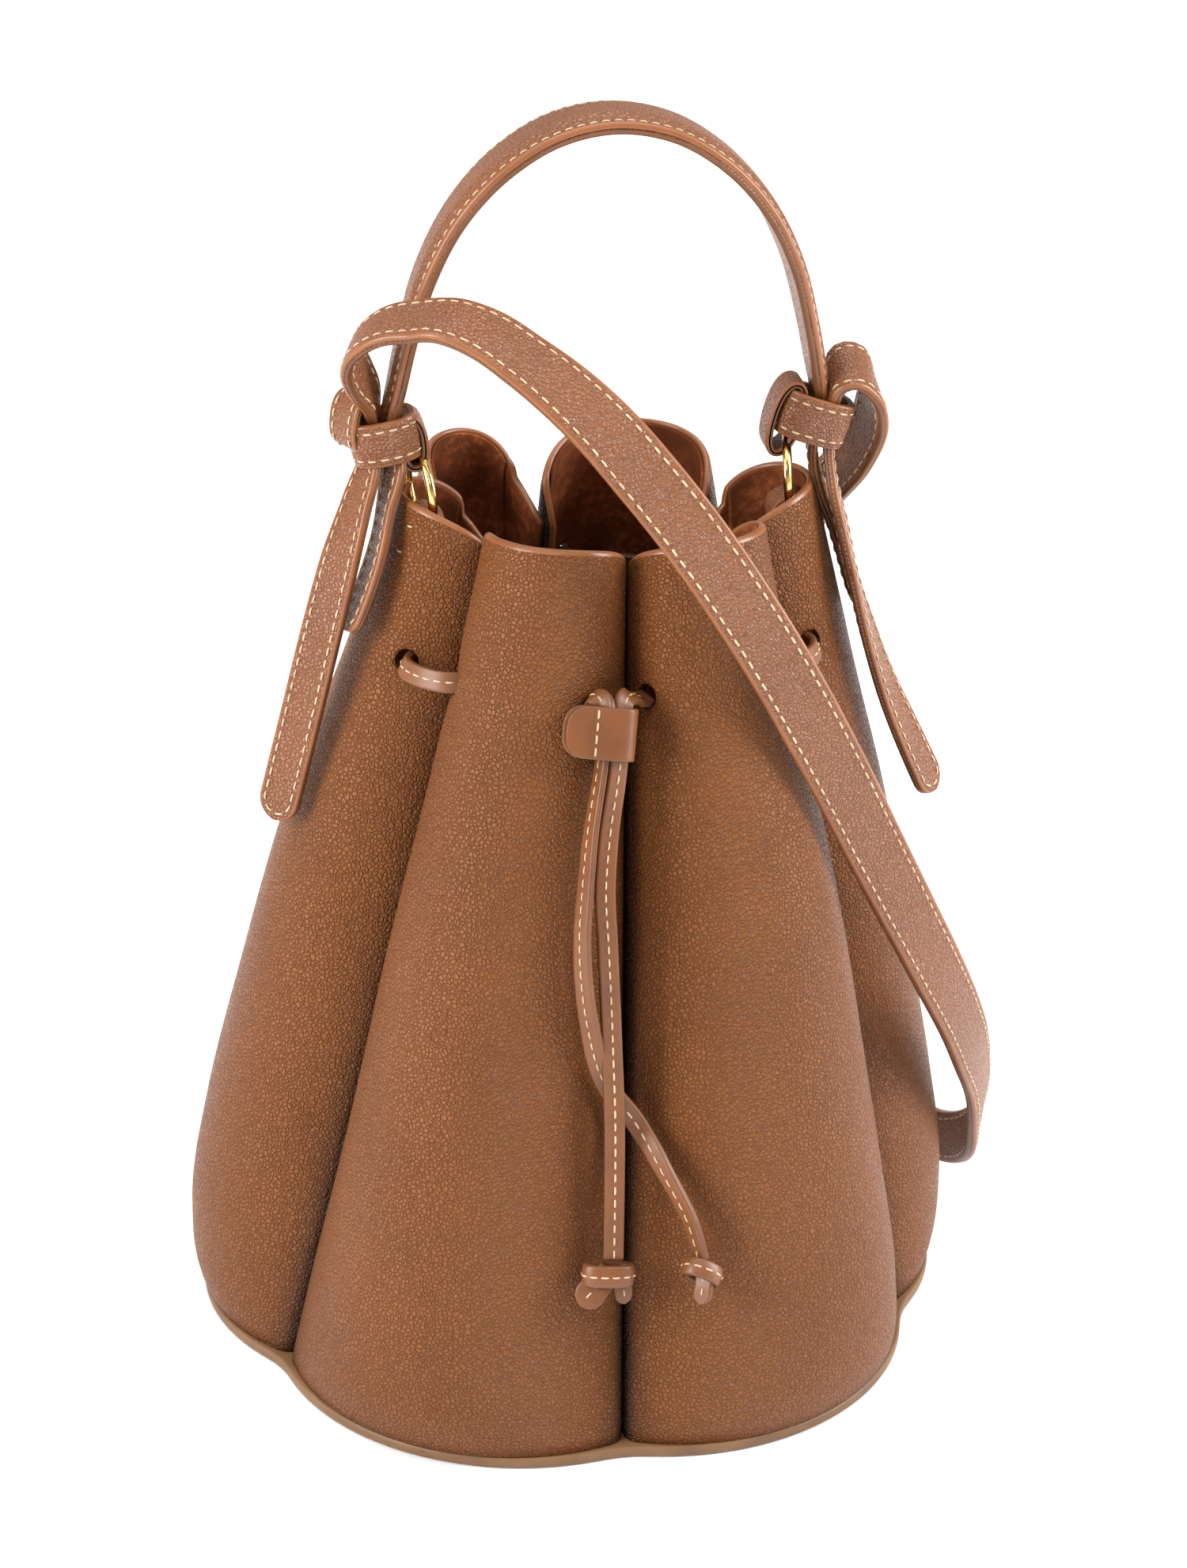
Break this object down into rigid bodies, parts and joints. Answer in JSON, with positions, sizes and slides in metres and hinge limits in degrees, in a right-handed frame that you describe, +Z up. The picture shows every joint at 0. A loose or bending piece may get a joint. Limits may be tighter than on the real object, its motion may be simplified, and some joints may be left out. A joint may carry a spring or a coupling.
{
  "type": "bucket bag",
  "caption": "Drawstring bucket bag in petalled leather on a stiff round base, with an arched carrying handle, a shoulder strap knotted to two rings and a sliding tab on the cords",
  "frame": {"origin": "centre of the underside of the base, on the floor", "axes": "+Z up, -Y the front with the drawstring, +X to the right seen from the front"},
  "size_m": [0.2308, 0.2234, 0.3407],
  "materials": {
    "grained_leather": "pebbled grain, semi matt",
    "strap_leather": "fine grain, soft sheen, painted edges",
    "sole_leather": "smooth, matt",
    "suede": "napped suede",
    "board": "raw fibre board",
    "gold_metal": "polished pale gold plating"
  },
  "bodies": {
    "shell": {"base_sole": "sole_leather", "base_board": "board", "base_lining": "suede", "petal_front_left": "grained_leather", "petal_front_right": "grained_leather", "petal_right": "grained_leather", "petal_back_right": "grained_leather", "petal_back_left": "grained_leather", "petal_left": "grained_leather", "lining_front_left": "suede", "lining_front_right": "suede", "lining_right": "suede", "lining_back_right": "suede", "lining_back_left": "suede", "lining_left": "suede", "ring_tab_left": "strap_leather", "ring_tab_right": "strap_leather", "shoulder_strap_front": "strap_leather", "shoulder_strap_back": "strap_leather", "drawstring_neck": "strap_leather", "drawstring_tail_left": "strap_leather", "drawstring_tail_right": "strap_leather", "end_knot_left": "strap_leather", "end_knot_right": "strap_leather"},
    "handle": {"handle_outer": "strap_leather", "handle_lining": "strap_leather", "knot_band_left": "strap_leather", "knot_band_right": "strap_leather", "ring_loop_left": "strap_leather", "ring_loop_right": "strap_leather", "knot_turn_left": "strap_leather", "ring_left": "gold_metal", "ring_right": "gold_metal"},
    "left_tails": {"tail_long_left": "strap_leather", "tail_short_left": "strap_leather"},
    "right_tails": {"tail_long_right": "strap_leather", "tail_short_right": "strap_leather"},
    "slider": {"drawstring_slider": "strap_leather"}
  },
  "joints": [
    {"name": "handle_swing", "type": "hinge", "parent": "shell", "child": "handle", "pos_m": [0.0065, 0.001, 0.241], "axis": [1, 0, 0], "range_deg": [-50, 50], "deforming": ["shoulder_strap_front", "shoulder_strap_back"]},
    {"name": "left_tails_swing", "type": "hinge", "parent": "handle", "child": "left_tails", "pos_m": [-0.052, 0.001, 0.2445], "axis": [1, 0, 0], "range_deg": [-50, 50]},
    {"name": "right_tails_swing", "type": "hinge", "parent": "handle", "child": "right_tails", "pos_m": [0.065, 0.001, 0.2445], "axis": [1, 0, 0], "range_deg": [-50, 50]},
    {"name": "slider_slide", "type": "slide", "parent": "shell", "child": "slider", "axis": [-0.125, -0.3299, -0.9357], "range_m": [0, 0.045], "deforming": ["drawstring_tail_left", "drawstring_tail_right"]}
  ],
  "couplings": [
    {"joint": "left_tails_swing", "follows": "handle_swing", "ratio": -1},
    {"joint": "right_tails_swing", "follows": "handle_swing", "ratio": -1}
  ]
}
